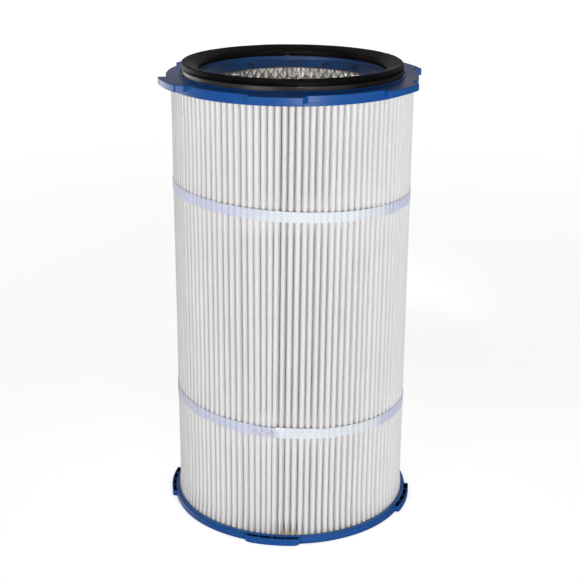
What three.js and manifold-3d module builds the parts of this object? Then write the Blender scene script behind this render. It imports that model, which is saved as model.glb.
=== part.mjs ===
// Twist-lock pleated filter cartridge: a ring of pleated media between two moulded end caps.
// Millimetres, +Z up. The origin is the centre of the resting plane under the bottom cap.
// Azimuth 0 points along -Y and grows towards +X.
import * as THREE from 'three';
import { mergeVertices } from 'three/addons/utils/BufferGeometryUtils.js';
import Module from 'manifold-3d';

const wasm = await Module();
wasm.setup();

// ---- driving dimensions ----
const ROUND = 60;                 // sides of every turned piece
const GAP = 0.3;                  // clearance between touching pieces
const CUT_OVERRUN = 2;            // how far a cutting body runs past the face it opens

const PLEATS = 112;
const PLEAT_TIP_R = 162.5;        // half of the 325 mm pleat diameter
const PLEAT_ROOT_R = 112;
const PLEAT_TIP_HALF_WIDTH = 2.2;
const PLEAT_ROOT_HALF_WIDTH = 1.0;
const SHEET = 0.8;                // thickness of the filter sheet

const LINER_R_IN = 109.6;
const LINER_R_OUT = 110.6;

const PAN_R = 170;
const PAN_RIM_Z = 11;
const PAN_RIM_R_IN = 164.2;
const PAN_FLOOR = 3;
const DAM_R_IN = 104.4;
const DAM_R_OUT = 106.6;

const TAB_R = 175.5;
const TAB_TOP = 10.5;
const TAB_SPAN = 25.2;            // degrees
const TAB_AZIMUTHS = [-103, -20.8, 62, 159.5];
const CELL_R_IN = 169.4;
const CELL_R_OUT = 174;
const CELL_FLOOR = 2;
const CELLS_PER_TAB = 4;
const CELL_SPAN = 5.5;            // degrees
const RIB_SPAN = 0.7;             // degrees

const SKIRT_Z = 604.7;
const SKIRT_R_IN = 165.4;
const SKIRT_R_OUT = 168.2;
const FLANGE_R = 168.8;
const FLANGE_Z = 618.2;
const PLATE_UNDERSIDE_Z = 615;

const LUGS = 6;
const LUG_R = 181;
const LUG_Z = 609.2;
const LUG_SPAN = 22.5;            // degrees
const LUG_RAMP = 2;               // degrees taken by the hollow ramp behind each lug
const FIRST_LUG_AZIMUTH = -18;

const COLLAR_R_IN = 149.9;
const COLLAR_R_OUT = 151.8;
const COLLAR_Z = 620;
const LIP_R_OUT = 125.1;
const LIP_R_IN = 123.6;
const LIP_Z = 620.8;
const NECK_R = 109.4;
const NECK_Z = 607.2;

const GASKET_R_IN = 125.5;
const GASKET_R_OUT = 148.8;
const GASKET_TOP = 635.2;

const UPPER_STRAP = { height: 456.2, width: 14.3, slant: -0.043 };
const LOWER_STRAP = { height: 155.8, width: 14.6, slant: -0.045 };
const STRAP_R_IN = 163.2;
const STRAP_R_OUT = 164;

const POTTING_Z = 10.9;           // top of the adhesive in the pan
const TOP_POTTING_Z = 606;        // underside of the adhesive in the top cap
const TOP_POTTING_R_IN = 112.6;
const CLIP_PLEAT = -4;            // the pleat that holds the seam, counted from the front
const CLIP_R_IN = 113.5;
const CLIP_R_OUT = 122.5;
const CLIP_HALF_WIDTH = 1.2;
const CLIP_SHEET = 0.4;

// ---- helpers ----
const radians = THREE.MathUtils.degToRad;

function polar(radius, azimuth) {
  const a = radians(azimuth);
  return new THREE.Vector2(radius * Math.sin(a), -radius * Math.cos(a));
}

function solidOf(geometry) {
  const bare = geometry.index ? geometry.toNonIndexed() : geometry.clone();
  bare.deleteAttribute('normal');
  bare.deleteAttribute('uv');
  const merged = mergeVertices(bare, 1e-4);
  const triangles = [];
  const index = merged.index.array;
  for (let i = 0; i < index.length; i += 3) {
    const [a, b, c] = [index[i], index[i + 1], index[i + 2]];
    if (a !== b && b !== c && c !== a) triangles.push(a, b, c);
  }
  return new wasm.Manifold(new wasm.Mesh({
    numProp: 3,
    vertProperties: new Float32Array(merged.attributes.position.array),
    triVerts: new Uint32Array(triangles),
  }));
}

function geometryOf(solid) {
  const mesh = solid.getMesh();
  const geometry = new THREE.BufferGeometry();
  geometry.setAttribute('position', new THREE.BufferAttribute(mesh.vertProperties, 3));
  geometry.setIndex(new THREE.BufferAttribute(mesh.triVerts, 1));
  geometry.computeVertexNormals();
  return geometry;
}

// Turns a closed profile of [radius, z] points, listed anticlockwise, about the Z axis.
function turned(profile) {
  const points = profile.map(([r, z]) => new THREE.Vector2(r, z));
  if (profile[0][0] > 0) points.push(points[0].clone());
  return new THREE.LatheGeometry(points, ROUND).rotateX(Math.PI / 2);
}

function extruded(shape, bottom, top) {
  const geometry = new THREE.ExtrudeGeometry(shape, { depth: top - bottom, bevelEnabled: false });
  return geometry.translate(0, 0, bottom);
}

function arc(radius, from, to, steps) {
  return Array.from({ length: steps + 1 }, (_, i) => polar(radius, from + (to - from) * i / steps));
}

function sector(rIn, rOut, from, to, steps) {
  return new THREE.Shape([...arc(rOut, from, to, steps), ...arc(rIn, to, from, steps)]);
}

// ---- bottom cap ----
function panBody() {
  return solidOf(turned([
    [0, 0], [168.4, 0], [169.5, 0.6], [PAN_R, 2], [PAN_R, 9.6], [169.2, PAN_RIM_Z],
    [PAN_RIM_R_IN, PAN_RIM_Z], [PAN_RIM_R_IN, PAN_FLOOR],
    [DAM_R_OUT, PAN_FLOOR], [DAM_R_OUT, PAN_RIM_Z], [DAM_R_IN, PAN_RIM_Z], [DAM_R_IN, PAN_FLOOR],
    [0, PAN_FLOOR],
  ]));
}

function tabBlock(start) {
  return solidOf(extruded(sector(CELL_R_IN - 1, TAB_R, start, start + TAB_SPAN, 6), 0, TAB_TOP));
}

function tabCells(start) {
  const used = CELLS_PER_TAB * CELL_SPAN + (CELLS_PER_TAB - 1) * RIB_SPAN;
  const first = start + (TAB_SPAN - used) / 2;
  return Array.from({ length: CELLS_PER_TAB }, (_, i) => {
    const from = first + i * (CELL_SPAN + RIB_SPAN);
    const cell = sector(CELL_R_IN, CELL_R_OUT, from, from + CELL_SPAN, 2);
    return solidOf(extruded(cell, CELL_FLOOR, PAN_RIM_Z + CUT_OVERRUN));
  });
}

function bottomEndCap() {
  let cap = panBody();
  for (const start of TAB_AZIMUTHS) cap = cap.add(tabBlock(start));
  for (const start of TAB_AZIMUTHS) {
    for (const cell of tabCells(start)) cap = cap.subtract(cell);
  }
  return geometryOf(cap);
}

function bottomPotting() {
  const rIn = DAM_R_OUT + GAP;
  const rOut = PAN_RIM_R_IN - GAP;
  const floor = PAN_FLOOR + GAP;
  return turned([[rIn, floor], [rOut, floor], [rOut, POTTING_Z], [rIn, POTTING_Z]]);
}

// ---- filter pack ----
// One star outline: every pleat has a blunt tip and a blunt root.
function starOutline(tipR, rootR, tipHalf, rootHalf) {
  const pitch = 360 / PLEATS;
  const tipTurn = THREE.MathUtils.radToDeg(tipHalf / tipR);
  const rootTurn = THREE.MathUtils.radToDeg(rootHalf / rootR);
  const points = [];
  for (let i = 0; i < PLEATS; i += 1) {
    const tip = i * pitch;
    const root = tip + pitch / 2;
    points.push(polar(tipR, tip - tipTurn), polar(tipR, tip + tipTurn));
    points.push(polar(rootR, root - rootTurn), polar(rootR, root + rootTurn));
  }
  return points;
}

function pleatedMedia() {
  const outer = starOutline(PLEAT_TIP_R, PLEAT_ROOT_R + SHEET, PLEAT_TIP_HALF_WIDTH, PLEAT_ROOT_HALF_WIDTH - SHEET);
  const inner = starOutline(PLEAT_TIP_R - SHEET, PLEAT_ROOT_R, PLEAT_TIP_HALF_WIDTH - SHEET, PLEAT_ROOT_HALF_WIDTH);
  const shape = new THREE.Shape(outer);
  shape.holes.push(new THREE.Path(inner));
  return extruded(shape, POTTING_Z + GAP, TOP_POTTING_Z - GAP);
}

// A U-shaped strip inside one pleat, with its closed side facing out.
function mediaSeamClip() {
  const inside = CLIP_HALF_WIDTH - CLIP_SHEET;
  const shape = new THREE.Shape();
  shape.moveTo(CLIP_R_IN, -CLIP_HALF_WIDTH);
  shape.lineTo(CLIP_R_OUT, -CLIP_HALF_WIDTH);
  shape.lineTo(CLIP_R_OUT, CLIP_HALF_WIDTH);
  shape.lineTo(CLIP_R_IN, CLIP_HALF_WIDTH);
  shape.lineTo(CLIP_R_IN, inside);
  shape.lineTo(CLIP_R_OUT - CLIP_SHEET, inside);
  shape.lineTo(CLIP_R_OUT - CLIP_SHEET, -inside);
  shape.lineTo(CLIP_R_IN, -inside);
  const azimuth = CLIP_PLEAT * 360 / PLEATS;
  return extruded(shape, POTTING_Z + GAP, TOP_POTTING_Z - GAP).rotateZ(radians(azimuth - 90));
}

function innerLiner() {
  const bottom = POTTING_Z + GAP;
  const top = NECK_Z - GAP;
  return turned([[LINER_R_IN, bottom], [LINER_R_OUT, bottom], [LINER_R_OUT, top], [LINER_R_IN, top]]);
}

// A flat ring, sheared so that its height falls steadily from -X to +X.
function strap({ height, width, slant }) {
  const geometry = turned([
    [STRAP_R_IN, height], [STRAP_R_OUT, height], [STRAP_R_OUT, height + width], [STRAP_R_IN, height + width],
  ]);
  const shear = new THREE.Matrix4().set(1, 0, 0, 0, 0, 1, 0, 0, slant, 0, 1, 0, 0, 0, 0, 1);
  return geometry.applyMatrix4(shear);
}

// ---- top cap ----
function topBody() {
  return solidOf(turned([
    [SKIRT_R_IN, SKIRT_Z], [SKIRT_R_OUT, SKIRT_Z], [FLANGE_R, FLANGE_Z],
    [COLLAR_R_OUT, FLANGE_Z], [COLLAR_R_OUT, COLLAR_Z], [COLLAR_R_IN, COLLAR_Z], [COLLAR_R_IN, FLANGE_Z],
    [LIP_R_OUT, FLANGE_Z], [LIP_R_OUT, LIP_Z], [LIP_R_IN, LIP_Z],
    [122.6, 616.6], [120.6, 615.8], [NECK_R, NECK_Z], [NECK_R + 2.4, NECK_Z],
    [122.8, PLATE_UNDERSIDE_Z], [SKIRT_R_IN, PLATE_UNDERSIDE_Z],
  ]));
}

// One lug in plan: a square step at its start, and a hollow ramp down to the flange behind its end.
function lug(start) {
  const end = start + LUG_SPAN;
  const ramp = [1, 2, 3, 4].map((i) => {
    const t = i / 4;
    return polar(FLANGE_R + (LUG_R - FLANGE_R) * (1 - t) ** 2, end + LUG_RAMP * t);
  });
  const root = arc(SKIRT_R_IN + 1, end + LUG_RAMP, start, 7);
  return solidOf(extruded(new THREE.Shape([...arc(LUG_R, start, end, 6), ...ramp, ...root]), LUG_Z, FLANGE_Z));
}

function topEndCap() {
  let cap = topBody();
  for (let i = 0; i < LUGS; i += 1) cap = cap.add(lug(FIRST_LUG_AZIMUTH + i * 360 / LUGS));
  return geometryOf(cap);
}

function topPotting() {
  const rOut = SKIRT_R_IN - GAP;
  const top = PLATE_UNDERSIDE_Z - GAP;
  return turned([
    [TOP_POTTING_R_IN, TOP_POTTING_Z], [rOut, TOP_POTTING_Z], [rOut, top],
    [123, top], [TOP_POTTING_R_IN, NECK_Z - GAP],
  ]);
}

function gasket() {
  return turned([
    [GASKET_R_IN, FLANGE_Z + GAP], [146.4, FLANGE_Z + GAP], [147.2, 621], [147.4, 625], [GASKET_R_OUT, 627.4],
    [GASKET_R_OUT, 630.6], [147.8, 633.8], [145.6, GASKET_TOP], [141, 634], [133.6, 631.6], [128.4, 629.4],
    [GASKET_R_IN, 625.6],
  ]);
}

// ---- assembly ----
const BLUE_PLASTIC = { color: 0x1b4c8c, roughness: 0.35, metalness: 0 };
const BLACK_RUBBER = { color: 0x161616, roughness: 0.6, metalness: 0 };
const WHITE_FELT = { color: 0xe6e3dd, roughness: 0.9, metalness: 0 };
const TAN_ADHESIVE = { color: 0xc4ad7c, roughness: 0.5, metalness: 0 };
const WHITE_TAPE = { color: 0xdfe6f2, roughness: 0.5, metalness: 0 };
const GALVANISED = { color: 0xb4b6b6, roughness: 0.4, metalness: 0.9 };

const group = new THREE.Group();

function place(name, geometry, look) {
  const mesh = new THREE.Mesh(geometry, new THREE.MeshStandardMaterial(look));
  mesh.name = name;
  group.add(mesh);
}

place('bottom_end_cap', bottomEndCap(), BLUE_PLASTIC);
place('bottom_potting', bottomPotting(), TAN_ADHESIVE);
place('pleated_media', pleatedMedia(), WHITE_FELT);
place('media_seam_clip', mediaSeamClip(), GALVANISED);
place('inner_liner', innerLiner(), GALVANISED);
place('lower_strap', strap(LOWER_STRAP), WHITE_TAPE);
place('upper_strap', strap(UPPER_STRAP), WHITE_TAPE);
place('top_potting', topPotting(), TAN_ADHESIVE);
place('top_end_cap', topEndCap(), BLUE_PLASTIC);
place('gasket', gasket(), BLACK_RUBBER);

export default group;
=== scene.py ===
"""A twist-lock pleated filter cartridge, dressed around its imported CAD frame.

Sizes are in millimetres and become metres where a mesh is made. Azimuth 0 is the front, -Y,
and it grows towards +X.
"""
import math

import bpy
import numpy as np
from mathutils import Euler, Matrix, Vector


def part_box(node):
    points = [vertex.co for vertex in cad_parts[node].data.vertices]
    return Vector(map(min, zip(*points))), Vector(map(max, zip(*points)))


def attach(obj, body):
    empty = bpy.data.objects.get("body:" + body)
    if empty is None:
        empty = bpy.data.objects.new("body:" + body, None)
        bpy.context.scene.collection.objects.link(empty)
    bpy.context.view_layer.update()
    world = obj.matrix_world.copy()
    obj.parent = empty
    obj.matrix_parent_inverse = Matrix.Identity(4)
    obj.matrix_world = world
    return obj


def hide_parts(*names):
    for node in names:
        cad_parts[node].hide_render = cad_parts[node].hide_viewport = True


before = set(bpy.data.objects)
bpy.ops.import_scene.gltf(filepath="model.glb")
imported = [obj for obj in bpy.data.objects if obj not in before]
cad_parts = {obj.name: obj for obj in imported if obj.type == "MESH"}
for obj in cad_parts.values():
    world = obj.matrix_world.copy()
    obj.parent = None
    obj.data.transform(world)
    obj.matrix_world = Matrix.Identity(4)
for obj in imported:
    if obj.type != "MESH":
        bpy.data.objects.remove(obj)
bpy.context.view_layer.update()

MM = 0.001

# ---- camera, in metres and radians ----
CAMERA_PLACE = (0.0, -1.69935, 0.90347)
CAMERA_PITCH = 0.336
CAMERA_YAW = 0.001
CAMERA_ROLL = 0.005
FOCAL_LENGTH = 78.81              # mm, on a 36 mm sensor

# ---- light ----
HORIZON_LIGHT = 0.55              # of the world, just above the floor
FRONT_SHARE = 0.45                # of the sky's light is left in front
CEILING_LIGHT = 0.10
GROUND_LIGHT = 0.06
BACKDROP_LIGHT = 0.9
WALL_TONE = 0.93                  # the plain wall that the camera sees behind the floor
KEY_POWER = 11                    # watts, as for the lamps below
FILL_POWER = 3.6
INSIDE_POWER = 0.17
STRIP_POWER = 18
SIDE_POWER = 7
FLOOR_GLOW = 0.76                 # beside the cartridge
FLOOR_GLOW_FAR = 1.0

# ---- filter pack ----
PLEATS = 112
PITCH = 360 / PLEATS              # degrees
SHEET_THICKNESS = 0.7
PLEAT_TIP_R = 162.45
PLEAT_ROOT_R = 112.5
ROOT_FOLD_R = 2.55
TIP_HALF_WIDTH = 2.5
VALLEY_RADII = (115.05, 131, 147, 155.2, 159.9)
VALLEY_HALF_WIDTHS = (2.55, 1.2, 0.4, 0.38, 1.95)
VALLEY_FLOOR_R = VALLEY_RADII[3]
VALLEY_FLOOR_RISE = 5.2           # how much shallower a valley is behind a strap
SHOULDER_RISE = 1.1               # the same at the valley's outer edge
RISE_HALF_HEIGHT = 8
MEDIA_INTO_GLUE = 2.6             # how far the pleats stand in the adhesive
LINER_R = 110.1
LINER_SHEET = 0.8
DIAMONDS_ROUND = 55
DIAMOND_HEIGHT = 17.5
STRAND_WIDTH = 1.4
CLIP_PLEAT = -4                   # counted from the front
CLIP_R_IN = 113.5
CLIP_R_OUT = 122.5
CLIP_HALF_WIDTH = 1.2
CLIP_SHEET = 0.4

# ---- adhesive ----
BOTTOM_POTTING_Z = 9.7
TOP_POTTING_Z = 606.3
BOTTOM_CLIMB = 1.8                # how far the adhesive climbs a pleat's flank
TOP_CLIMB = 2.0
POTTING_AZIMUTHS = np.arange(0, 360, PITCH / 10)

# ---- straps ----
STRAP_R = 162.9
STRAP_DIP = 1.25                  # how far a strap sinks between two pleat tips
TAPE = 0.42                       # thickness
TAPE_THREADS_ROUND = 2300
TAPE_WEFT_STEP = 0.00042          # metres
STRAP_WIDTHS = {"upper_strap": 14.3, "lower_strap": 14.6}

# ---- bottom cap ----
CAP_ANGLE = 32                    # degrees between faces that makes an edge sharp
PAN_R = 170.0
PAN_RIM_R_IN = 164.2
PAN_RIM_Z = 11.0
PAN_FLOOR = 3.0
PAN_LEDGE_R = 166.0               # where the rim's top starts to fall outwards
PAN_LEDGE_FALL = 0.8
TAB_LIFT = 3.0                    # a tab's foot stands this far off the floor
DAM_R_IN = 104.4
DAM_R_OUT = 106.6
TAB_R = 175.5
TAB_TOP = 10.3
TAB_SPAN = 25.2                   # degrees
TAB_STARTS = (-103, -20.8, 62, 159.5)    # azimuths
CELL_R_IN = 169.2
CELL_R_OUT = 174.0
CELL_FLOOR = 1.2
CELLS_PER_TAB = 4
CELL_SPAN = 5.5                   # degrees
RIB_SPAN = 0.7                    # degrees

# ---- top cap ----
SKIRT_R_IN = 165.4
SKIRT_R_OUT = 168.2
FLANGE_R = 168.8
FLANGE_Z = 618.2
PLATE_UNDERSIDE_Z = 615.0
LUG_R = 180.8
LUG_Z = 609.2
LUG_COUNT = 6
LUG_SPAN = 22.5                   # degrees
LUG_RAMP = 2                      # degrees
FIRST_LUG = -18
COLLAR_R_IN = 149.9
COLLAR_R_OUT = 151.8
COLLAR_Z = 620.0
LIP_R_IN = 123.6
LIP_R_OUT = 125.1
LIP_Z = 620.8
LEDGE_R = 120.6
LEDGE_Z = 615.8
NECK_R = 109.4
NECK_Z = 607.2
NECK_MID_R = 115
NECK_STEPS = 8                    # between the ledge and the neck's foot
POCKET_LEVEL = 0.55               # a pocket's place on the neck, from its foot to the ledge
NECK_POCKETS = ((-150, 9.5), (131, 12.5), (156, 7.0), (30, 7.0), (-30, 7.0))    # azimuth, width
KEY_AZIMUTH = -176.5


# ---- small geometry helpers ----
def polar(radius, azimuth):
    """Plan points at a radius and an azimuth in degrees."""
    angle = np.radians(azimuth)
    radius = radius + 0 * angle
    return np.stack([radius * np.sin(angle), -radius * np.cos(angle)], axis=-1)


def at_height(plan, z):
    """Plan points with a height, or with one height for each."""
    return np.concatenate([plan, np.broadcast_to(z, len(plan))[:, None]], axis=1)


def circle(radius, azimuths, z):
    return at_height(polar(radius, azimuths), z)


def arc_length(azimuths, centre, radius):
    """How far round from centre each azimuth lies, in millimetres at that radius."""
    return ((azimuths - centre + 180) % 360 - 180) * math.radians(1) * radius


def smooth_step(value, start, end):
    """0 before start, 1 after end, and smooth between them."""
    t = np.clip((value - start) / (end - start), 0, 1)
    return t * t * (3 - 2 * t)


def height_span(node):
    """A node's lowest and highest z, in millimetres."""
    low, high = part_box(node)
    return low[2] / MM, high[2] / MM


def ripple(values, seed, waves, amplitude):
    """A smooth uneven line round the object: a few sine waves of seeded phase and weight."""
    rng = np.random.default_rng(seed)
    total = 0 * values
    for wave in waves:
        total = total + rng.uniform(0.4, 1) * np.sin(np.radians(values) * wave + rng.uniform(0, 6.28))
    return total * amplitude / len(waves)


def rounded(corners, steps=4):
    """The points of a closed outline with arcs on its corners. A corner is (x, y, arc radius)."""
    points = []
    for i, (x, y, radius) in enumerate(corners):
        here = np.array([x, y], float)
        if radius == 0:
            points.append(here)
            continue
        back = np.array(corners[i - 1][:2], float) - here
        ahead = np.array(corners[(i + 1) % len(corners)][:2], float) - here
        shortest = min(np.linalg.norm(back), np.linalg.norm(ahead))
        back /= np.linalg.norm(back)
        ahead /= np.linalg.norm(ahead)
        half = math.acos(np.clip(back @ ahead, -1, 1)) / 2
        reach = min(radius / math.tan(half), 0.48 * shortest)
        radius = reach * math.tan(half)
        centre = here + (back + ahead) / np.linalg.norm(back + ahead) * radius / math.sin(half)
        first, last = here + back * reach - centre, here + ahead * reach - centre
        start = math.atan2(first[1], first[0])
        turn = math.atan2(last[1], last[0]) - start
        turn = (turn + math.pi) % (2 * math.pi) - math.pi
        for step in range(steps + 1):
            angle = start + turn * step / steps
            points.append(centre + radius * np.array([math.cos(angle), math.sin(angle)]))
    return np.array(points)


def grid_faces(rows, columns, wrap_rows=True, wrap_columns=True):
    """Quads of a grid of points. They face out where rows climb and columns follow the azimuth."""
    row = np.arange(rows if wrap_rows else rows - 1)
    column = np.arange(columns if wrap_columns else columns - 1)
    row, column = np.meshgrid(row, column, indexing="ij")
    above, beside = (row + 1) % rows, (column + 1) % columns
    near, far = row * columns, above * columns
    return np.stack([near + column, near + beside, far + beside, far + column], axis=-1).reshape(-1, 4)


def closed_faces(rows, columns):
    """The faces of a stack of rings with a flat face at each end."""
    faces = grid_faces(rows, columns, wrap_rows=False).tolist()
    faces.append(list(range(columns))[::-1])
    faces.append(list(range((rows - 1) * columns, rows * columns)))
    return faces


def mesh_object(name, points, faces):
    """A linked object in metres, of points in millimetres."""
    mesh = bpy.data.meshes.new(name)
    places = (np.asarray(points).reshape(-1, 3) * MM).tolist()
    mesh.from_pydata(places, [], [list(map(int, face)) for face in faces])
    obj = bpy.data.objects.new(name, mesh)
    bpy.context.scene.collection.objects.link(obj)
    return obj


def make_piece(name, rings, finish, node, smooth_angle=40, faces=None):
    """A piece that rides on the root body and stands for its CAD node.

    Without faces, the rings of points are joined one to the next, and the last to the first.
    """
    if faces is None:
        faces = grid_faces(*np.shape(rings)[:2])
    piece = mesh_object(name, rings, faces)
    mesh = piece.data
    mesh.shade_smooth()
    mesh.set_sharp_from_angle(angle=math.radians(smooth_angle))
    mesh.materials.append(finish)
    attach(piece, "root")
    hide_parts(node)
    return piece


def even_shading(piece):
    """Keeps flat faces looking flat beside small rounded edges."""
    normals = piece.modifiers.new("even_shading", "WEIGHTED_NORMAL")
    normals.keep_sharp = True


def turned_rings(profile, azimuths):
    """Rings of points for a closed [radius, z] profile, listed anticlockwise."""
    profile = np.asarray(profile)
    plan = polar(profile[:, :1], azimuths[None, :])
    heights = np.broadcast_to(profile[:, 1:2], plan.shape[:2])
    return np.concatenate([plan, heights[..., None]], axis=-1)


# ---- materials ----
class Nodes:
    """A node tree and shorthand to fill it. An input is a socket to link or a constant."""

    def __init__(self, tree, coordinates):
        self.tree = tree
        self.place = self.node("TexCoord").outputs[coordinates]

    def node(self, kind, inputs=None, **settings):
        node = self.tree.nodes.new("ShaderNode" + kind)
        for key, value in settings.items():
            setattr(node, key, value)
        for socket, value in (inputs or {}).items():
            self.feed(node.inputs[socket], value)
        return node

    def feed(self, socket, value):
        if isinstance(value, bpy.types.NodeSocket):
            self.tree.links.new(value, socket)
        else:
            socket.default_value = value

    def scaled(self, x, y, z):
        return self.node("Mapping", {"Vector": self.place, "Scale": (x, y, z)}).outputs["Vector"]

    def noise(self, scale, detail=3.0, roughness=0.5, vector=None):
        inputs = {"Scale": scale, "Detail": detail, "Roughness": roughness}
        inputs["Vector"] = vector or self.place
        return self.node("TexNoise", inputs).outputs["Fac"]

    def ramp(self, value, low, high, start=0.3, end=0.7):
        """A value or colour that runs from low to high as value runs from start to end."""
        inputs = {"Value": value, "From Min": start, "From Max": end}
        if isinstance(low, tuple):
            return self.blend(self.node("MapRange", inputs).outputs["Result"], (*low, 1), (*high, 1))
        inputs.update({"To Min": low, "To Max": high})
        return self.node("MapRange", inputs).outputs["Result"]

    def math(self, operation, *inputs, **settings):
        return self.node("Math", dict(enumerate(inputs)), operation=operation, **settings).outputs[0]

    def times(self, *factors):
        product = factors[0]
        for factor in factors[1:]:
            product = self.math("MULTIPLY", product, factor)
        return product

    def axes(self):
        split = self.node("SeparateXYZ", {"Vector": self.place})
        return [split.outputs[axis] for axis in "XYZ"]

    def from_axis(self, x, y):
        plan = self.node("CombineXYZ", {"X": x, "Y": y}).outputs[0]
        return self.node("VectorMath", {0: plan}, operation="LENGTH").outputs["Value"]

    def azimuth(self, x, y):
        """In radians, from -pi to pi."""
        return self.math("ARCTAN2", x, self.times(y, -1.0))

    def blend(self, factor, first, second, blend_type="MIX"):
        """Colours blended by factor. A Mix node's inputs 6 and 7 are its colours."""
        inputs = {"Factor": factor, 6: first, 7: second}
        return self.node("Mix", inputs, data_type="RGBA", blend_type=blend_type).outputs[2]


class Finish(Nodes):
    """A Principled material, made in object coordinates."""

    def __init__(self, name, **constants):
        self.material = bpy.data.materials.new(name)
        self.material.use_nodes = True
        super().__init__(self.material.node_tree, "Object")
        self.surface = self.tree.nodes["Principled BSDF"]
        for socket, value in constants.items():
            self.surface.inputs[socket.replace("_", " ")].default_value = value

    def colour(self, value):
        self.feed(self.surface.inputs["Base Color"], value)

    def rough(self, value):
        self.feed(self.surface.inputs["Roughness"], value)

    def bumps(self, *layers):
        """Each layer is (height, depth in metres)."""
        normal = None
        for height, depth in layers:
            inputs = {"Height": height, "Distance": depth, "Strength": 1.0}
            if normal is not None:
                inputs["Normal"] = normal
            normal = self.node("Bump", inputs).outputs["Normal"]
        self.feed(self.surface.inputs["Normal"], normal)


def blue_plastic():
    finish = Finish("blue_plastic", IOR=1.42)
    cloud = finish.noise(14, 4)
    flow = finish.noise(9, 5, 0.6, finish.scaled(1, 1, 9))
    base = finish.ramp(cloud, (0.001, 0.071, 0.295), (0.002, 0.084, 0.34))
    scuffs = finish.noise(55, 8, 0.75, finish.scaled(1.0, 2.4, 1.0))
    base = finish.blend(finish.ramp(scuffs, 0.0, 0.3, 0.62, 0.8), base, (0.015, 0.10, 0.33, 1))
    x, y, z = finish.axes()
    from_axis = finish.from_axis(x, y)

    # Painted shade darkens and greys the neck, which gets little light from above.
    neck_painted_shade = finish.times(finish.ramp(from_axis, 1.0, 0.0, 0.1225, 0.1265), finish.ramp(cloud, 0.86, 0.64))
    neck_painted_shade = finish.times(neck_painted_shade, finish.ramp(z, 0.0, 1.0, 0.1, 0.2))
    base = finish.blend(neck_painted_shade, base, (0.0085, 0.014, 0.0255, 1))

    # Painted light makes the top face of the pan's rim paler, as a top face there gets little light.
    rim_top_painted_light = finish.times(
        finish.ramp(z, 0.0, 1.0, 0.0099, 0.0104),
        finish.ramp(from_axis, 1.0, 0.0, 0.1684, 0.1690),
        finish.ramp(z, 0.8, 0.0, 0.0125, 0.013),
    )
    base = finish.blend(rim_top_painted_light, base, (0.012, 0.19, 0.62, 1))

    # Painted shade darkens the pockets of the neck.
    azimuth = finish.azimuth(x, y)
    pocket_z = (NECK_Z + POCKET_LEVEL * (LEDGE_Z - NECK_Z)) * MM
    off_level = finish.math("ABSOLUTE", finish.math("SUBTRACT", z, pocket_z))
    at_level = finish.times(finish.ramp(off_level, 1.0, 0.0, 0.0022, 0.0031), neck_painted_shade)
    for centre, width in NECK_POCKETS:
        aside = finish.math("ABSOLUTE", finish.math("SUBTRACT", azimuth, math.radians(centre)))
        half = width / 2 / NECK_MID_R
        pocket = finish.times(finish.ramp(aside, 1.0, 0.0, 0.8 * half, 1.05 * half), at_level)
        base = finish.blend(pocket, base, (0.003, 0.004, 0.008, 1))

    # Painted shade darkens the neck's corners and the insides of the tabs' cells, where ambient occlusion
    # finds hollows.
    hollows = finish.node("AmbientOcclusion", {"Distance": 0.01}, samples=6).outputs["AO"]
    neck_or_tab = finish.math("MAXIMUM", neck_painted_shade, finish.ramp(from_axis, 0.0, 1.0, 0.1684, 0.1690))
    neck_or_cell = finish.times(neck_or_tab, finish.ramp(from_axis, 1.0, 0.0, 0.1745, 0.1748))
    shade = finish.times(finish.ramp(hollows, 1.0, 0.0, 0.25, 0.62), neck_or_cell)
    finish.colour(finish.blend(shade, base, (0.002, 0.003, 0.006, 1)))
    scuffed = finish.ramp(scuffs, 0.0, 0.16, 0.6, 0.8)
    finish.rough(finish.math("ADD", finish.ramp(flow, 0.30, 0.42), scuffed))
    finish.bumps((finish.noise(1500, 2), 0.000012), (finish.noise(45, 2), 0.00012))
    return finish.material


def black_rubber():
    finish = Finish("black_rubber", IOR=1.2, Coat_IOR=1.8, Coat_Roughness=0.26)
    mottle = finish.noise(160, 7, 0.7)
    patches = finish.noise(16, 3)
    dark = finish.ramp(mottle, (0.0013, 0.0013, 0.0013), (0.0032, 0.003, 0.0028), 0.35, 0.7)
    dark = finish.blend(finish.ramp(patches, 0.0, 0.5, 0.52, 0.78), dark, (0.014, 0.0105, 0.0085, 1))
    x, y, z = finish.axes()

    # The foot of the outer wall is greyer and shinier, and less so on the right.
    bloom = finish.math("ADD", z, finish.ramp(mottle, -0.0006, 0.0006))
    lower_wall = finish.times(
        finish.ramp(bloom, 1.0, 0.0, 0.6246, 0.6262),
        finish.ramp(finish.from_axis(x, y), 0.0, 1.0, 0.140, 0.142),
        finish.ramp(finish.azimuth(x, y), 1.0, 0.25, 0.15, 0.6),
    )
    finish.colour(finish.blend(lower_wall, dark, (0.033, 0.030, 0.031, 1)))
    finish.feed(finish.surface.inputs["Coat Weight"], finish.times(lower_wall, 0.5))
    finish.rough(finish.math("ADD", finish.ramp(patches, 0.38, 0.5), finish.ramp(mottle, -0.05, 0.09)))
    finish.bumps((finish.noise(900, 4, 0.65), 0.00007), (finish.noise(60, 3), 0.0004))
    return finish.material


def filter_felt():
    finish = Finish("filter_felt", IOR=1.35, Sheen_Weight=0.12)
    blotches = finish.noise(11, 4, 0.6)
    streaks = finish.noise(60, 3, 0.5, finish.scaled(1, 1, 0.05))
    fibres = finish.noise(650, 6, 0.75, finish.scaled(1, 1, 0.45))
    base = finish.ramp(blotches, (0.755, 0.742, 0.742), (0.80, 0.79, 0.795))
    base = finish.blend(finish.ramp(streaks, 0.0, 0.35, 0.45, 0.75), base, (0.715, 0.695, 0.69, 1))
    finish.colour(finish.blend(finish.ramp(fibres, 0.0, 0.2, 0.5, 0.72), base, (0.66, 0.64, 0.63, 1)))
    finish.rough(finish.ramp(fibres, 0.82, 0.96))
    finish.bumps((fibres, 0.00012), (finish.noise(120, 3), 0.00025))
    return finish.material


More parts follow.
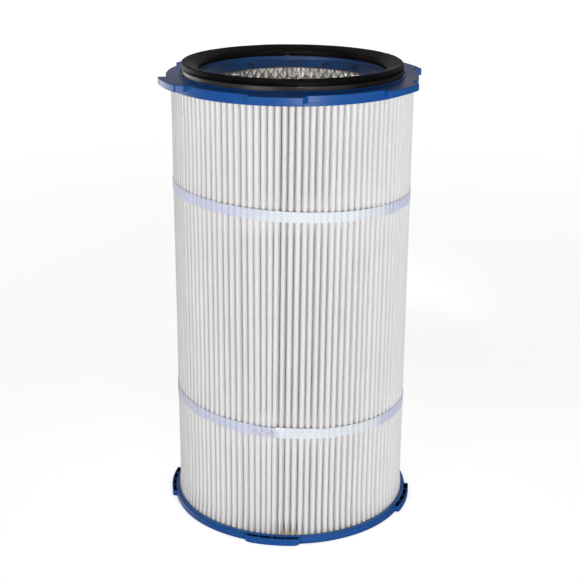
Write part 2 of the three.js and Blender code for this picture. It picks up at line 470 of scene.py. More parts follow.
def strap_tape():
    finish = Finish("strap_tape", IOR=1.6, Sheen_Weight=0.25, Sheen_Tint=(0.86, 0.9, 1.0, 1))
    x, y, z = finish.axes()
    azimuth = finish.azimuth(x, y)
    warp = finish.math("SINE", finish.times(azimuth, TAPE_THREADS_ROUND))
    weft = finish.math("SINE", finish.times(z, 2 * math.pi / TAPE_WEFT_STEP))
    weave = finish.math("ADD", finish.times(warp, 0.5), finish.times(weft, 0.5))
    crease = finish.noise(70, 5, 0.6, finish.scaled(1, 1, 1.8))
    blotches = finish.noise(22, 3)
    degrees = finish.math("ADD", finish.times(azimuth, 180 / math.pi), finish.ramp(crease, -2.0, 2.0))
    single = finish.ramp(blotches, (0.60, 0.625, 0.79), (0.66, 0.68, 0.84))
    double_and_painted_highlight = finish.ramp(blotches, (0.715, 0.75, 0.80), (0.775, 0.81, 0.86))

    # Where the tape lies double, and across the front where a painted highlight stands in for its bright
    # reflection, it is whiter. That starts sharply on the lower strap, at azimuth -8, and softly on the
    # upper one, from -28, and it ends at 49 on both.
    upper = finish.math("GREATER_THAN", z, sum(strap_middles()) / 2 * MM)
    begins = finish.math("ADD", finish.times(upper, -20.0), -8.0)
    soft_begin = finish.math("ADD", finish.times(upper, 18.0), 2.5)
    into_whiter_stretch = finish.math("DIVIDE", finish.math("SUBTRACT", degrees, begins), soft_begin)
    rise = finish.ramp(into_whiter_stretch, 0.0, 1.0, 0.0, 1.0)
    fall = finish.ramp(finish.math("SUBTRACT", 49.0, degrees), 0.0, 1.0, 0.0, 1.5)
    base = finish.blend(finish.times(rise, fall), single, double_and_painted_highlight)

    # The lower strap's tail is crumpled, with painted shade in its creases.
    from_crumple = finish.math("ABSOLUTE", finish.math("ADD", degrees, 12.5))
    crumple = finish.math("SUBTRACT", finish.ramp(from_crumple, 1.0, 0.0, 4.0, 7.5), upper)
    painted_crease_shade = finish.ramp(finish.noise(170, 4, 0.7, finish.scaled(1, 1, 1.6)), 0.0, 1.0, 0.48, 0.56)
    base = finish.blend(finish.times(crumple, painted_crease_shade), base, (0.51, 0.51, 0.62, 1))
    finish.colour(finish.blend(finish.ramp(weave, 0.0, 0.16, -0.2, -0.9), base, (0.47, 0.50, 0.61, 1)))
    finish.rough(finish.ramp(crease, 0.36, 0.5))
    finish.bumps((weave, 0.00003), (crease, 0.0008))
    return finish.material


def tan_adhesive():
    finish = Finish("tan_adhesive", IOR=1.5)
    cloud = finish.noise(25, 5, 0.6)
    bubbles = finish.node("TexVoronoi", {"Vector": finish.place, "Scale": 420.0}).outputs["Distance"]
    base = finish.ramp(cloud, (0.64, 0.52, 0.30), (0.84, 0.72, 0.48))
    finish.colour(finish.blend(finish.ramp(bubbles, 0.4, 0.0, 0.0, 0.25), base, (0.50, 0.38, 0.19, 1)))
    finish.rough(finish.ramp(cloud, 0.28, 0.48))
    finish.bumps((bubbles, 0.00012), (finish.noise(90, 4), 0.0007))
    return finish.material


def galvanised_steel():
    finish = Finish("galvanised_steel", Metallic=1.0)
    spangle = finish.node("TexVoronoi", {"Vector": finish.place, "Scale": 160.0}).outputs["Color"]
    tone = finish.node("SeparateColor", {"Color": spangle}).outputs[0]
    finish.colour(finish.ramp(tone, (0.22, 0.225, 0.23), (0.34, 0.345, 0.35), 0.0, 1.0))
    dulled = finish.ramp(finish.noise(300, 3), -0.04, 0.06)
    finish.rough(finish.math("ADD", finish.ramp(tone, 0.42, 0.56, 0.0, 1.0), dulled))
    finish.bumps((finish.noise(800, 3), 0.00002))
    return finish.material


# ---- plan outlines of the two caps ----
def bumped_outline(base_r, bumps, fine=0.45, coarse=3.0, softening=6):
    """The plan of a round rim with raised stretches.

    A bump is (start, end, radius, ramp): a square step at its start, and a hollow ramp of so
    many degrees after its end, or a square step where ramp is 0. Returns the outline's points,
    and for each point an evenly growing azimuth for the plain rings inside.
    """
    margin = math.degrees(3.5 / base_r)
    outline, azimuths, softened = [], [], []
    position = bumps[0][0] - margin

    def add(points, first, last, soft):
        outline.extend(points)
        azimuths.extend(first + (last - first) * (np.arange(len(points)) / len(points)))
        softened.extend([soft] * len(points))

    def arc(radius, first, last, step):
        count = max(2, round(math.radians(last - first) * radius / step))
        return polar(radius, first + (last - first) * np.arange(count) / count)

    for start, end, radius, ramp in bumps:
        if position < start - margin:
            plain = arc(base_r, position, start - margin, coarse)
            add(plain, position, start - margin, False)
        wall_steps = round((radius - base_r) / fine)
        wall = [polar(base_r + (radius - base_r) * i / wall_steps, start) for i in range(wall_steps)]
        foot, brow = arc(base_r, start - margin, start, fine), arc(radius, start, start + margin, fine)
        add([*foot, *wall, *brow], start - margin, start + margin, True)
        level = arc(radius, start + margin, end - margin, coarse)
        add(level, start + margin, end - margin, False)
        if ramp:
            t = np.linspace(0, 1, round(math.radians(ramp) * radius / fine))
            slope = [polar(base_r + (radius - base_r) * (1 - s) ** 2, end + ramp * s) for s in t]
        else:
            slope = [polar(radius + (base_r - radius) * i / wall_steps, end) for i in range(wall_steps)]
        fall_end = end + ramp + margin
        fall = [*arc(radius, end - margin, end, fine), *slope, *arc(base_r, end + ramp, fall_end, fine)]
        add(fall, end - margin, fall_end, True)
        position = fall_end
    close = bumps[0][0] - margin + 360
    add(arc(base_r, position, close, coarse), position, close, False)

    outline = np.array(outline)
    softened = np.array(softened)[:, None]
    for _ in range(softening):
        mean = (np.roll(outline, 1, axis=0) + 2 * outline + np.roll(outline, -1, axis=0)) / 4
        outline = np.where(softened, mean, outline)
    return outline, np.array(azimuths)


def inset(outline, depth):
    """The outline moved inwards along its own normals."""
    along = np.roll(outline, -1, axis=0) - np.roll(outline, 1, axis=0)
    along /= np.linalg.norm(along, axis=1, keepdims=True)
    outward = np.stack([along[:, 1], -along[:, 0]], axis=1)
    return outline - outward * depth


def edge_rings(outline, radius, z, upper, steps=4):
    """Rings that round the outline's edge, at the top of a wall or at its foot."""
    rings = []
    for angle in np.linspace(0, math.pi / 2, steps + 1):
        cosine, sine = math.cos(angle), math.sin(angle)
        depth = radius * (1 - (cosine if upper else sine))
        height = z - radius * (1 - sine) if upper else z + radius * (1 - cosine)
        rings.append(at_height(inset(outline, depth), height))
    return rings


# ---- top cap ----
def top_end_cap(finish):
    starts = [FIRST_LUG + 360 / LUG_COUNT * i for i in range(LUG_COUNT)]
    bumps = [(start, start + LUG_SPAN, LUG_R, LUG_RAMP) for start in starts]
    outline, azimuths = bumped_outline(FLANGE_R, bumps, softening=12)
    low = height_span("top_end_cap")[0]

    skirt = rounded([
        (SKIRT_R_IN, PLATE_UNDERSIDE_Z, 1.2), (SKIRT_R_IN, low, 0.6), (SKIRT_R_OUT, low, 0.9),
        (SKIRT_R_OUT + 0.2, LUG_Z - 0.5, 0),
    ])
    skirt = [*skirt, (SKIRT_R_OUT + 0.25, LUG_Z - 0.12), (SKIRT_R_OUT + 0.4, LUG_Z)]
    rings = [circle(r, azimuths, z) for r, z in skirt]
    rings += edge_rings(outline, 0.5, LUG_Z, upper=False)
    rings += edge_rings(outline, 0.9, FLANGE_Z, upper=True)
    rings.append(circle(COLLAR_R_OUT + 6, azimuths, FLANGE_Z))
    inner = rounded([
        (COLLAR_R_OUT, FLANGE_Z, 0.5), (COLLAR_R_OUT, COLLAR_Z, 0.45), (COLLAR_R_IN, COLLAR_Z, 0.45),
        (COLLAR_R_IN, FLANGE_Z, 0.3), (LIP_R_OUT, FLANGE_Z, 0.3), (LIP_R_OUT, LIP_Z, 0.4),
        (LIP_R_IN, LIP_Z, 0.4), (LEDGE_R + 2, LEDGE_Z + 0.8, 0.8), (LEDGE_R, LEDGE_Z, 0.7),
        (NECK_R, NECK_Z, 0.5), (NECK_R + 2.4, NECK_Z, 0.4), (LEDGE_R + 2.2, PLATE_UNDERSIDE_Z, 1.5),
    ])
    profile = []
    for r, z in inner:
        if profile and abs(r - profile[-1][0]) > 6 and z < LEDGE_Z and r < LEDGE_R:
            profile += np.linspace(profile[-1], (r, z), NECK_STEPS + 1)[1:-1].tolist()
        profile.append((r, z))
    for r, z in profile:
        ring = circle(r, azimuths, z)
        if LIP_R_IN - 0.1 < r < LIP_R_OUT + 0.1 and z > LIP_Z - 1:
            ring[:, 2] += 1.6 * key_bump(azimuths, 1.6, 3.4)
        if r < LIP_R_IN - 0.5 and z < LEDGE_Z + 1.5:
            relief = neck_relief(azimuths, (r - NECK_R) / (LEDGE_R - NECK_R))
            ring[:, :2] = polar(r + relief, azimuths)
        rings.append(ring)
    piece = make_piece("top_end_cap_moulding", rings, finish, "top_end_cap")
    even_shading(piece)
    return piece


def neck_relief(azimuths, height):
    """Recesses and one raised rib on the inside of the neck, as added radius."""
    relief = 0 * azimuths
    for centre, width in NECK_POCKETS:
        across = arc_length(azimuths, centre, NECK_MID_R)
        along = (height - POCKET_LEVEL) * 14
        distance = np.sqrt((across / (width / 2)) ** 2 + (along / 3.2) ** 2)
        relief = relief + 1.9 * (1 - smooth_step(distance, 0.75, 1.05))
    return relief - 1.8 * key_bump(azimuths, 4.0, 5.2) * (height < 1.1)


def key_bump(azimuths, full, none):
    """1 on the key that stands on the neck at the back, fading to 0 between two half widths."""
    return 1 - smooth_step(np.abs(arc_length(azimuths, KEY_AZIMUTH, NECK_MID_R)), full, none)


# ---- bottom cap ----
def bottom_end_cap(finish):
    bumps = [(start, start + TAB_SPAN, TAB_R, 0) for start in TAB_STARTS]
    outline, azimuths = bumped_outline(PAN_R, bumps, fine=0.4, softening=16)
    proud = np.linalg.norm(outline, axis=1) > PAN_R + 0.4
    end_distance = np.full(len(outline), 99.0)
    for start in TAB_STARTS:
        for end in (start, start + TAB_SPAN):
            end_distance = np.minimum(end_distance, np.abs(arc_length(azimuths, end, TAB_R)))
    lift = np.where(proud, TAB_LIFT * (1 - smooth_step(end_distance, 0.3, 5.0)), 0)

    rings = [circle(r, azimuths, 0) for r in (2, 30, 80, 130, 160, 166)]
    foot = edge_rings(outline, 0.7, 0, upper=False)
    for step, ring in enumerate(foot):
        ring[:, 2] += lift * min(1, 0.7 + 0.3 * step)
    rings += foot
    tab_top = TAB_TOP - 1.2 * (1 - smooth_step(end_distance, 0.2, 2.5))
    wall_top = np.where(proud, tab_top, PAN_RIM_Z - PAN_LEDGE_FALL)
    for ring in edge_rings(outline, 0.8, PAN_RIM_Z, upper=True):
        ring[:, 2] += wall_top - PAN_RIM_Z
        rings.append(ring)
    gate_z = PAN_FLOOR - 0.6
    inner = rounded([
        (PAN_LEDGE_R, PAN_RIM_Z, 0), (PAN_RIM_R_IN, PAN_RIM_Z, 0.3), (PAN_RIM_R_IN, PAN_FLOOR, 0.8),
        (DAM_R_OUT, PAN_FLOOR, 0.6), (DAM_R_OUT, PAN_RIM_Z, 0.5), (DAM_R_IN, PAN_RIM_Z, 0.5),
        (DAM_R_IN, PAN_FLOOR, 1.0), (80, PAN_FLOOR, 0), (40, PAN_FLOOR, 0), (9, PAN_FLOOR, 0.6),
        (8, gate_z, 0.4), (2, gate_z, 0),
    ])
    rings += [circle(r, azimuths, z) for r, z in inner]
    piece = make_piece("bottom_end_cap_moulding", rings, finish, "bottom_end_cap",
                       CAP_ANGLE, closed_faces(len(rings), len(azimuths)))
    cut_cells(piece)
    even_shading(piece)
    return piece


def cut_cells(piece):
    """Opens the row of cells in the top of each tab."""
    points, faces = [], []
    used = CELLS_PER_TAB * CELL_SPAN + (CELLS_PER_TAB - 1) * RIB_SPAN
    for start in TAB_STARTS:
        first = start + (TAB_SPAN - used) / 2
        for i in range(CELLS_PER_TAB):
            begin = first + i * (CELL_SPAN + RIB_SPAN)
            stack = cell_rings(begin, begin + CELL_SPAN)
            offset = len(points)
            points.extend(stack.reshape(-1, 3))
            faces.extend([offset + k for k in face] for face in closed_faces(*stack.shape[:2]))
    cutter = mesh_object("cells", points, faces)
    cut = piece.modifiers.new("cells", "BOOLEAN")
    cut.operation = "DIFFERENCE"
    cut.solver = "EXACT"
    cut.object = cutter
    bpy.context.view_layer.update()
    evaluated = piece.evaluated_get(bpy.context.evaluated_depsgraph_get())
    shaped = bpy.data.meshes.new_from_object(evaluated)
    piece.modifiers.remove(cut)
    piece.data = shaped
    shaped.shade_smooth()
    shaped.set_sharp_from_angle(angle=math.radians(CAP_ANGLE))
    bpy.data.objects.remove(cutter)


def cell_rings(begin, end):
    """The cutter of one cell: rounded in plan, and flared a little at its mouth."""
    mid_r = (CELL_R_IN + CELL_R_OUT) / 2
    half_length = math.radians(end - begin) / 2 * mid_r
    half_width = (CELL_R_OUT - CELL_R_IN) / 2
    rings = []
    levels = (
        (-0.5, CELL_FLOOR), (0, CELL_FLOOR + 0.6), (0, TAB_TOP - 0.35),
        (0.35, TAB_TOP + 0.02), (0.35, TAB_TOP + 3.7),
    )
    for grow, z in levels:
        long, wide = half_length + grow, half_width + grow
        plan = rounded([(-long, -wide, 0.7), (long, -wide, 0.7), (long, wide, 0.7), (-long, wide, 0.7)])
        azimuth = (begin + end) / 2 + np.degrees(plan[:, 0] / mid_r)
        rings.append(circle(mid_r - plan[:, 1], azimuth, z))
    return np.array(rings)


# ---- gasket ----
def gasket(finish):
    low, high = height_span("gasket")
    azimuths = np.arange(0, 360, 0.6)
    profile = rounded([
        (125.5, low, 0.6), (147.9, low, 0.4), (147.8, 620.2, 1.0), (147.0, 625.0, 1.0),
        (148.4, 626.8, 1.6), (148.75, 630.4, 2.0), (147.8, 633.6, 1.2), (145.6, high - 0.3, 1.5),
        (141.0, 633.8, 4), (133.6, 631.4, 5), (128.4, 629.2, 2.5), (125.5, 625.6, 2),
    ], steps=5)
    rings = turned_rings(profile, azimuths)
    raised = (profile[:, 1:2] - low) / (high - low)
    rings[..., 2] += raised * (ripple(azimuths, 3, (3, 5, 9, 17), 0.3) - 0.15)[None, :]
    wobble = raised * ripple(azimuths, 4, (4, 7, 13, 31), 0.35)[None, :]
    rings[..., :2] *= (1 + wobble / 140)[..., None]
    butt_joint = np.exp(-((azimuths - 118) / 0.5) ** 2)
    rings[..., 2] -= 0.5 * raised * butt_joint[None, :]
    piece = make_piece("gasket_ring", rings, finish, "gasket", 60)
    even_shading(piece)
    return piece


# ---- filter pack ----
def valley_half_width(radius):
    """Half of the open width between two pleats, seen from outside."""
    return np.interp(radius, VALLEY_RADII, VALLEY_HALF_WIDTHS)


def pleat_outline(pleat, height, tables):
    """The sheet's middle line through every pleat at one height, as plan points."""
    tip_shift, tip_depth, tip_width, sway_phase, sway_size, valley_gap = tables
    low, high = height_span("pleated_media")
    part = (height - low) / (high - low)
    hold = strap_hold(height)
    azimuth = pleat * PITCH
    foot = 1 - smooth_step(height, low + 4, low + 22)
    sway = 0.9 * tip_shift + 0.6 * sway_size * math.sin(5.2 * part) * np.cos(sway_phase + 3 * part)
    sway = (1 - 0.65 * hold) * sway + drift(azimuth) * (1 - part)
    half_tip = TIP_HALF_WIDTH + tip_width * (1 - 0.5 * hold) - foot * pinch(azimuth)
    tip_r = PLEAT_TIP_R - tip_depth * (1 - hold) + foot * 1.15
    radii, offsets = [], []
    innermost, outermost = VALLEY_RADII[0], VALLEY_RADII[-1]
    from_strap = min(abs(height - place) for place in strap_middles())
    behind_strap = math.exp(-(max(0, from_strap / RISE_HALF_HEIGHT - 1)) ** 2)
    valley = list(zip(VALLEY_RADII, VALLEY_HALF_WIDTHS))
    for side in (-1, 1):
        for radius, gap in valley if side < 0 else valley[::-1]:
            if radius >= VALLEY_FLOOR_R:
                rise = VALLEY_FLOOR_RISE if radius == VALLEY_FLOOR_R else SHOULDER_RISE
                radius += rise * behind_strap
            half_pitch = math.radians(PITCH / 2) * radius
            share = (radius - innermost) / (outermost - innermost)
            wider = valley_gap * smooth_step(radius, 125, 150) + (TIP_HALF_WIDTH - half_tip) * share ** 4
            radii.append(radius + share * (tip_r - PLEAT_TIP_R))
            offsets.append(side * (half_pitch - gap - wider))
        if side < 0:
            shoulder_r = outermost + tip_r - PLEAT_TIP_R
            for angle in np.radians(np.linspace(22, 158, 6)):
                radii.append(shoulder_r + (tip_r - shoulder_r) * np.sin(angle))
                offsets.append(-half_tip * np.cos(angle))
    root_centre = PLEAT_ROOT_R + ROOT_FOLD_R
    for angle in np.radians((45, 90, 135)):
        radii.append(root_centre - ROOT_FOLD_R * np.sin(angle) + 0 * tip_r)
        half_pitch = math.radians(PITCH / 2) * PLEAT_ROOT_R
        offsets.append(half_pitch - ROOT_FOLD_R * np.cos(angle) + 0 * tip_r)
    radii, offsets = np.array(radii).T, np.array(offsets).T
    lean = ((radii - PLEAT_ROOT_R) / (PLEAT_TIP_R - PLEAT_ROOT_R)).clip(0, 1) ** 1.4
    offsets = offsets + lean * sway[:, None]
    plan = polar(radii, azimuth[:, None] + np.degrees(offsets / radii))
    return plan.reshape(-1, 2)


def strap_hold(height):
    """1 where a strap or a cap holds the pleats, and 0 halfway between them."""
    places = [*strap_middles(), *height_span("pleated_media")]
    return max(math.exp(-((height - place) / 26) ** 2) for place in places)


def strap_middles():
    return [sum(height_span(node)) / 2 for node in ("lower_strap", "upper_strap")]


def drift(azimuth):
    """How far the pleat tips have moved round at the bottom, in mm, where the pack is twisted."""
    return -5.4 * smooth_step(azimuth, -17, -4) * (1 - smooth_step(azimuth, 60, 120))


def pinch(azimuth):
    """How much narrower the pleats' feet are, where they stand in the adhesive."""
    return 0.1 + 1.8 * np.exp(-((azimuth + 0.5) / 5.5) ** 2)


def pleated_media(finish):
    low, high = height_span("pleated_media")
    pleat = np.arange(PLEATS) - PLEATS // 2
    rng = np.random.default_rng(7)
    tip_shift = rng.normal(0, 0.28, PLEATS)
    tip_depth = rng.uniform(0, 0.9, PLEATS)
    tip_width = rng.normal(0, 0.16, PLEATS)
    sway_phase = rng.uniform(0, 6.28, PLEATS)
    sway_size = rng.uniform(0.1, 0.45, PLEATS)
    valley_gap = rng.uniform(0, 0.1, PLEATS) + 0.22 * np.exp(-((pleat * PITCH + 3) / 5.5) ** 2)
    tables = tip_shift, tip_depth, tip_width, sway_phase, sway_size, valley_gap
    straps = [height_span(node) for node in ("lower_strap", "upper_strap")]
    heights = [low - MEDIA_INTO_GLUE, low + 4, low + 10, low + 16, low + 22, high - 20, high]
    for bottom, top in straps:
        heights += [bottom - 14, bottom, top, top + 14]
    heights += [60, 100, 220, 275, 330, 385, 520, 560]
    heights = sorted(heights)
    skins = {1: [], -1: []}
    for height in heights:
        middle = pleat_outline(pleat, height, tables)
        for side in skins:
            skins[side].append(at_height(inset(middle, -side * SHEET_THICKNESS / 2), height))
    rings = skins[1] + skins[-1][::-1]
    piece = make_piece("pleated_media_sheet", rings, finish, "pleated_media", 70)
    return piece


def inner_liner(finish):
    """Expanded metal rolled into a tube: a lattice of diamonds with rounded corners."""
    low, high = height_span("inner_liner")
    rows = round((high - low) / DIAMOND_HEIGHT * 2)
    half_height = (high - low) / rows
    half_width = math.pi * LINER_R / DIAMONDS_ROUND
    strand_share = STRAND_WIDTH / (2 * half_width * half_height / math.hypot(half_width, half_height))
    outer = [(0, -1), (0.5, -0.5), (1, 0), (0.5, 0.5), (0, 1), (-0.5, 0.5), (-1, 0), (-0.5, -0.5)]
    shrink = [(1 - strand_share) * (0.84 if i % 2 == 0 else 1) for i in range(8)]
    hole = [(across * k, up * k) for (across, up), k in zip(outer, shrink)]
    points, faces, known = [], [], {}

    def point(x, z, tilt):
        key = round(x / half_width * 100) % (DIAMONDS_ROUND * 200), round(z * 50)
        if key not in known:
            known[key] = len(points)
            points.append((*polar(LINER_R + tilt, np.degrees(x / LINER_R)), z))
        return known[key]

    for row in range(1, rows):
        for column in range(DIAMONDS_ROUND):
            x, z = (2 * column + row % 2) * half_width, low + row * half_height
            rim = [point(x + across * half_width, z + up * half_height, 0.25 if across == 0 else 0)
                   for across, up in outer]
            mouth = [point(x + across * half_width, z + up * half_height, 0) for across, up in hole]
            for i in range(8):
                faces.append((rim[i], rim[(i + 1) % 8], mouth[(i + 1) % 8], mouth[i]))
    piece = make_piece("inner_liner_mesh", points, finish, "inner_liner", faces=faces)
    thicken = piece.modifiers.new("sheet", "SOLIDIFY")
    thicken.thickness = LINER_SHEET * MM
    thicken.offset = 0
    return piece


def media_seam_clip(finish):
    """A steel strip folded into a U over the two ends of the filter sheet."""
    low, high = height_span("media_seam_clip")
    inside = CLIP_HALF_WIDTH - CLIP_SHEET
    fold_r = CLIP_R_OUT - CLIP_SHEET
    plan = rounded([
        (CLIP_R_IN, -CLIP_HALF_WIDTH, 0.1), (CLIP_R_OUT, -CLIP_HALF_WIDTH, 0.8),
        (CLIP_R_OUT, CLIP_HALF_WIDTH, 0.8), (CLIP_R_IN, CLIP_HALF_WIDTH, 0.1),
        (CLIP_R_IN, inside, 0.1), (fold_r, inside, 0.5), (fold_r, -inside, 0.5), (CLIP_R_IN, -inside, 0.1),
    ])
    azimuth = CLIP_PLEAT * PITCH + np.degrees(plan[:, 1] / plan[:, 0])
    rings = []
    for z in np.linspace(low, high, 41):
        crimp = 0.12 * math.sin((z - low) * 0.35)
        rings.append(circle(plan[:, 0] + crimp * (plan[:, 0] > 120), azimuth, z))
    return make_piece("media_seam_clip_strip", rings, finish, "media_seam_clip",
                      faces=closed_faces(len(rings), len(plan)))


def meniscus_height(radii, climb):
    """How far the adhesive's uneven surface climbs, most of all up the pleats' flanks."""
    radii, azimuths = radii[:, None], POTTING_AZIMUTHS[None, :]
    from_centre = np.abs((azimuths + PITCH / 2) % PITCH - PITCH / 2) * math.radians(1) * radii
    half_width = math.radians(PITCH / 2) * radii - valley_half_width(radii)
    from_wall = (from_centre - half_width).clip(0, 9)
    between_pleats = smooth_step(radii, 110, 114) * (1 - smooth_step(radii, 157, 162))
    uneven = ripple(azimuths, 11, (5, 13, 29, 61), 0.5)
    uneven = uneven + 0.3 * np.sin(radii * 0.9 + np.radians(azimuths) * 40)
    return climb * np.exp(-from_wall / 0.7) * between_pleats + 0.5 * uneven


def potting_ring(node, sections, finish):
    """A closed adhesive ring. A section is (radius, height), and its height may vary round."""
    rings = [circle(r, POTTING_AZIMUTHS, z) for r, z in sections]
    return make_piece(node + "_ring", rings, finish, node, 60)


def bottom_potting(finish):
    low = height_span("bottom_potting")[0]
    inner_r, outer_r = DAM_R_OUT + 0.3, PAN_RIM_R_IN - 0.3
    between = [*np.linspace(162.8, 148, 13), *np.linspace(143, 112, 8)]
    radii = np.array([outer_r, outer_r - 0.5, *between, 108.5, inner_r])
    tops = BOTTOM_POTTING_Z + meniscus_height(radii, BOTTOM_CLIMB)
    return potting_ring("bottom_potting", [(inner_r, low), (outer_r, low), *zip(radii, tops)], finish)


def top_potting(finish):
    top = height_span("top_potting")[1]
    inner_r, outer_r = NECK_R + 3.2, SKIRT_R_IN - 0.3
    between = [*np.linspace(118, 148, 7), *np.linspace(150, 162.8, 10)]
    radii = np.array([inner_r, 114, *between, outer_r - 0.5, outer_r])
    under = TOP_POTTING_Z - meniscus_height(radii, TOP_CLIMB)
    sections = [*zip(radii, under), (outer_r, top), (123.0, top), (inner_r, TOP_POTTING_Z + 0.6)]
    return potting_ring("top_potting", sections, finish)


# ---- straps ----
def strap(name, finish, begin, overlap, step_up, tail_cut, crumpled):
    """A tape wound once round the pleats, its tail glued over its start.

    begin is the azimuth of the hidden start and overlap the degrees of tail over it. step_up is
    how far the tail lies above the first turn. tail_cut is (degrees before the end, share of the
    width cut off from below) pairs, and crumpled is (azimuth, half width, depth). The tape dips
    between the pleat tips, and follows them where the pack is twisted.
    """
    low, high = height_span(name)
    width = STRAP_WIDTHS[name]
    box_low, box_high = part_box(name)
    slant = -(high - low - width) / ((box_high[0] - box_low[0]) / MM)
    middle = (low + high) / 2
    azimuths = np.arange(begin, begin + 360 + overlap, PITCH / 8)
    turned = azimuths - begin
    onto_tail = smooth_step(turned, 357.5, 360.5)
    media_low, media_high = height_span("pleated_media")
    twist = drift((azimuths + 180) % 360 - 180) * (1 - (middle - media_low) / (media_high - media_low))
    between_tips = 0.5 - 0.5 * np.cos(np.radians(azimuths - np.degrees(twist / STRAP_R)) * PLEATS)
    crumple_azimuth, crumple_half_width, crumple_depth = crumpled
    crumple = crumple_depth * np.exp(-((azimuths - 360 - crumple_azimuth) / crumple_half_width) ** 4)
    base_r = STRAP_R + (TAPE + 0.05) * onto_tail - STRAP_DIP * between_tips * (1 - 0.3 * onto_tail)
    x = polar(STRAP_R, azimuths)[:, 0]
    centre = middle + slant * x + step_up * onto_tail
    before_end, cut = zip(*tail_cut)
    cut_off = width * np.interp(begin + 360 + overlap - azimuths, before_end, cut)
    lower_edge = -width / 2 + cut_off + ripple(azimuths, 21, (9, 23, 41), 0.22)
    lower_edge += 0.5 * crumple * np.sin(azimuths * 0.9)
    upper_edge = width / 2 + ripple(azimuths, 22, (7, 19, 37), 0.22)
    upper_edge += 0.4 * crumple * np.sin(azimuths * 1.3)
    sections = []
    for share in np.linspace(0, 1, 9):
        across = lower_edge + (upper_edge - lower_edge) * share
        bow = 0.10 * ripple(azimuths, 30 + int(share * 6), (31, 53, 97), 1.0)
        creases = np.sin(6 * share + 2.6 * azimuths) + 0.8 * np.sin(3.4 - 4 * share + 1.7 * azimuths)
        sections.append((base_r + TAPE + bow + crumple * (0.9 + 0.6 * creases), centre + across))
    rings = [circle(r, azimuths, z) for r, z in sections]
    rings += [circle(r - TAPE, azimuths, z) for r, z in sections[::-1]]
    rows, columns = len(rings), len(azimuths)
    faces = grid_faces(rows, columns, wrap_columns=False).tolist()
    faces.append([row * columns for row in range(rows)])
    faces.append([row * columns + columns - 1 for row in range(rows)][::-1])
    piece = make_piece(name + "_tape", rings, finish, name, 60, faces)
    return piece


# ---- stage ----
def point_at(obj, target):
    direction = np.array(target) - np.array(obj.location)
    yaw = math.atan2(-direction[0], direction[1])
    pitch = math.atan2(direction[2], math.hypot(direction[0], direction[1]))
    obj.rotation_euler = Euler((math.pi / 2 + pitch, 0, yaw))


def softbox(name, place, size, power, colour=(1, 1, 1), target=(0, 0, 0.32), spread=180):
    lamp = bpy.data.lights.new(name, "AREA")
    lamp.shape = "RECTANGLE"
    lamp.size, lamp.size_y = size
    lamp.energy = power
    lamp.color = colour
    lamp.spread = math.radians(spread)
    obj = bpy.data.objects.new(name, lamp)
    obj.location = place
    point_at(obj, target)
    bpy.context.scene.collection.objects.link(obj)
    return obj


def world_light():
    """A bright horizon under a dim ceiling, with a backdrop behind on the left.

    The horizon is dimmer in front. The camera itself sees a plain pale wall.
    """
    world = bpy.data.worlds.new("studio")
    bpy.context.scene.world = world
    world.use_nodes = True
    sky = Nodes(world.node_tree, "Generated")
    x, y, z = sky.axes()

    fade = sky.node("ValToRGB", {0: sky.ramp(z, 0.0, 1.0, -1.0, 1.0)})
    steps = ((0.0, GROUND_LIGHT), (0.5, GROUND_LIGHT), (0.525, HORIZON_LIGHT), (0.875, CEILING_LIGHT))
    for i, (position, value) in enumerate(steps):
        stop = fade.color_ramp.elements[i] if i < 2 else fade.color_ramp.elements.new(position)
        stop.position = position
        stop.color = (value, value, value, 1)

    def clamped(value, factor, offset):
        return sky.math("MULTIPLY_ADD", value, factor, offset, use_clamp=True)

    towards_back = clamped(clamped(y, 0.9, 0.55), 1 - FRONT_SHARE, FRONT_SHARE)
    back_left = clamped(clamped(y, 0.83, sky.times(x, -0.55)), 2.0, -0.9)
    backdrop = sky.times(back_left, clamped(z, -12.0, 0.3), BACKDROP_LIGHT)
    light = sky.blend(1.0, fade.outputs[0], towards_back, "MULTIPLY")
    light = sky.blend(1.0, light, backdrop, "ADD")
    is_camera = sky.node("LightPath").outputs["Is Camera Ray"]
    seen = sky.blend(is_camera, light, (WALL_TONE, WALL_TONE, WALL_TONE, 1))
    sky.feed(sky.tree.nodes["Background"].inputs["Color"], seen)


def lamps():
    """Soft lamps in front, a small one over the neck, and two low ones for the reflections."""
    softbox("key", (-1.6, -2.45, 1.2), (1.5, 1.3), KEY_POWER, (1.0, 0.99, 0.97))
    softbox("fill", (1.9, -1.9, 0.9), (1.2, 1.4), FILL_POWER, (0.93, 0.94, 1.0))
    softbox("inside", (-0.1, -0.62, 1.3), (0.12, 0.12), INSIDE_POWER, (1.0, 0.95, 0.87),
            (0, 0.1, 0.59), 22)
    side = softbox("side", (-1.7, 1.15, 0.42), (1.5, 0.7), SIDE_POWER, target=(-0.165, -0.065, 0.61))
    side.visible_diffuse = False
    softbox("strip", (0.5, -2.3, 0.26), (0.7, 0.42), STRIP_POWER, target=(0.03, -0.17, 0.5))


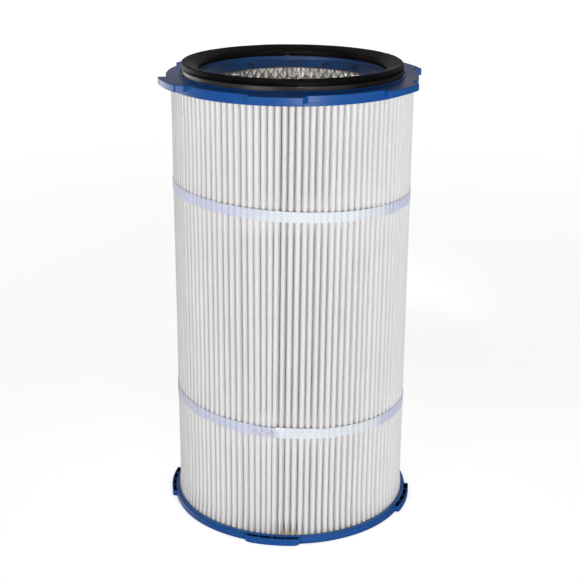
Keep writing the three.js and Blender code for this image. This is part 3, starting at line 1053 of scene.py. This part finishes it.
def pale_floor():
    finish = Finish("floor", Specular_IOR_Level=0.05, Emission_Color=(1, 1, 1, 1))
    finish.colour(finish.ramp(finish.noise(3, 2), (0.90, 0.90, 0.90), (0.93, 0.93, 0.93)))
    finish.rough(finish.ramp(finish.noise(6, 2), 0.8, 0.95))
    distance = finish.node("VectorMath", {0: finish.place}, operation="LENGTH").outputs["Value"]
    glow = finish.ramp(distance, FLOOR_GLOW, FLOOR_GLOW_FAR, 0.6, 5.0)
    finish.feed(finish.surface.inputs["Emission Strength"], glow)
    rings = turned_rings([(r, 0) for r in (1, 400, 900, 2500, 8000, 40000)], np.arange(0, 360, 3.75))
    rows, columns = rings.shape[:2]
    faces = [face[::-1] for face in grid_faces(rows, columns, wrap_rows=False).tolist()]
    faces.append(list(range(columns)))
    floor = mesh_object("floor", rings, faces)
    floor.data.materials.append(finish.material)
    floor.visible_glossy = False


def camera():
    lens = bpy.data.cameras.new("camera")
    lens.lens = FOCAL_LENGTH
    lens.sensor_width = 36
    lens.clip_end = 100
    obj = bpy.data.objects.new("camera", lens)
    turn = Matrix.Rotation(CAMERA_YAW, 4, "Z") @ Matrix.Rotation(math.pi / 2 - CAMERA_PITCH, 4, "X")
    obj.matrix_world = Matrix.Translation(CAMERA_PLACE) @ turn @ Matrix.Rotation(CAMERA_ROLL, 4, "Z")
    bpy.context.scene.collection.objects.link(obj)
    bpy.context.scene.camera = obj


# ---- assembly ----
camera()
bpy.context.scene.view_settings.view_transform = "Standard"
world_light()
lamps()
pale_floor()
blue, rubber, felt = blue_plastic(), black_rubber(), filter_felt()
tape, glue, steel = strap_tape(), tan_adhesive(), galvanised_steel()
bottom_end_cap(blue)
bottom_potting(glue)
pleated_media(felt)
media_seam_clip(steel)
inner_liner(steel)
strap("lower_strap", tape, begin=-6.8, overlap=19.3, step_up=1.4, tail_cut=[(0, 0), (360, 0)],
      crumpled=(-11, 5.5, 0.8))
strap("upper_strap", tape, begin=-18.0, overlap=59.0, step_up=0.0,
      tail_cut=[(0, 0.92), (4, 0.66), (35, 0.4), (38, 0), (360, 0)], crumpled=(-30, 4, 0.1))
top_potting(glue)
top_end_cap(blue)
gasket(rubber)
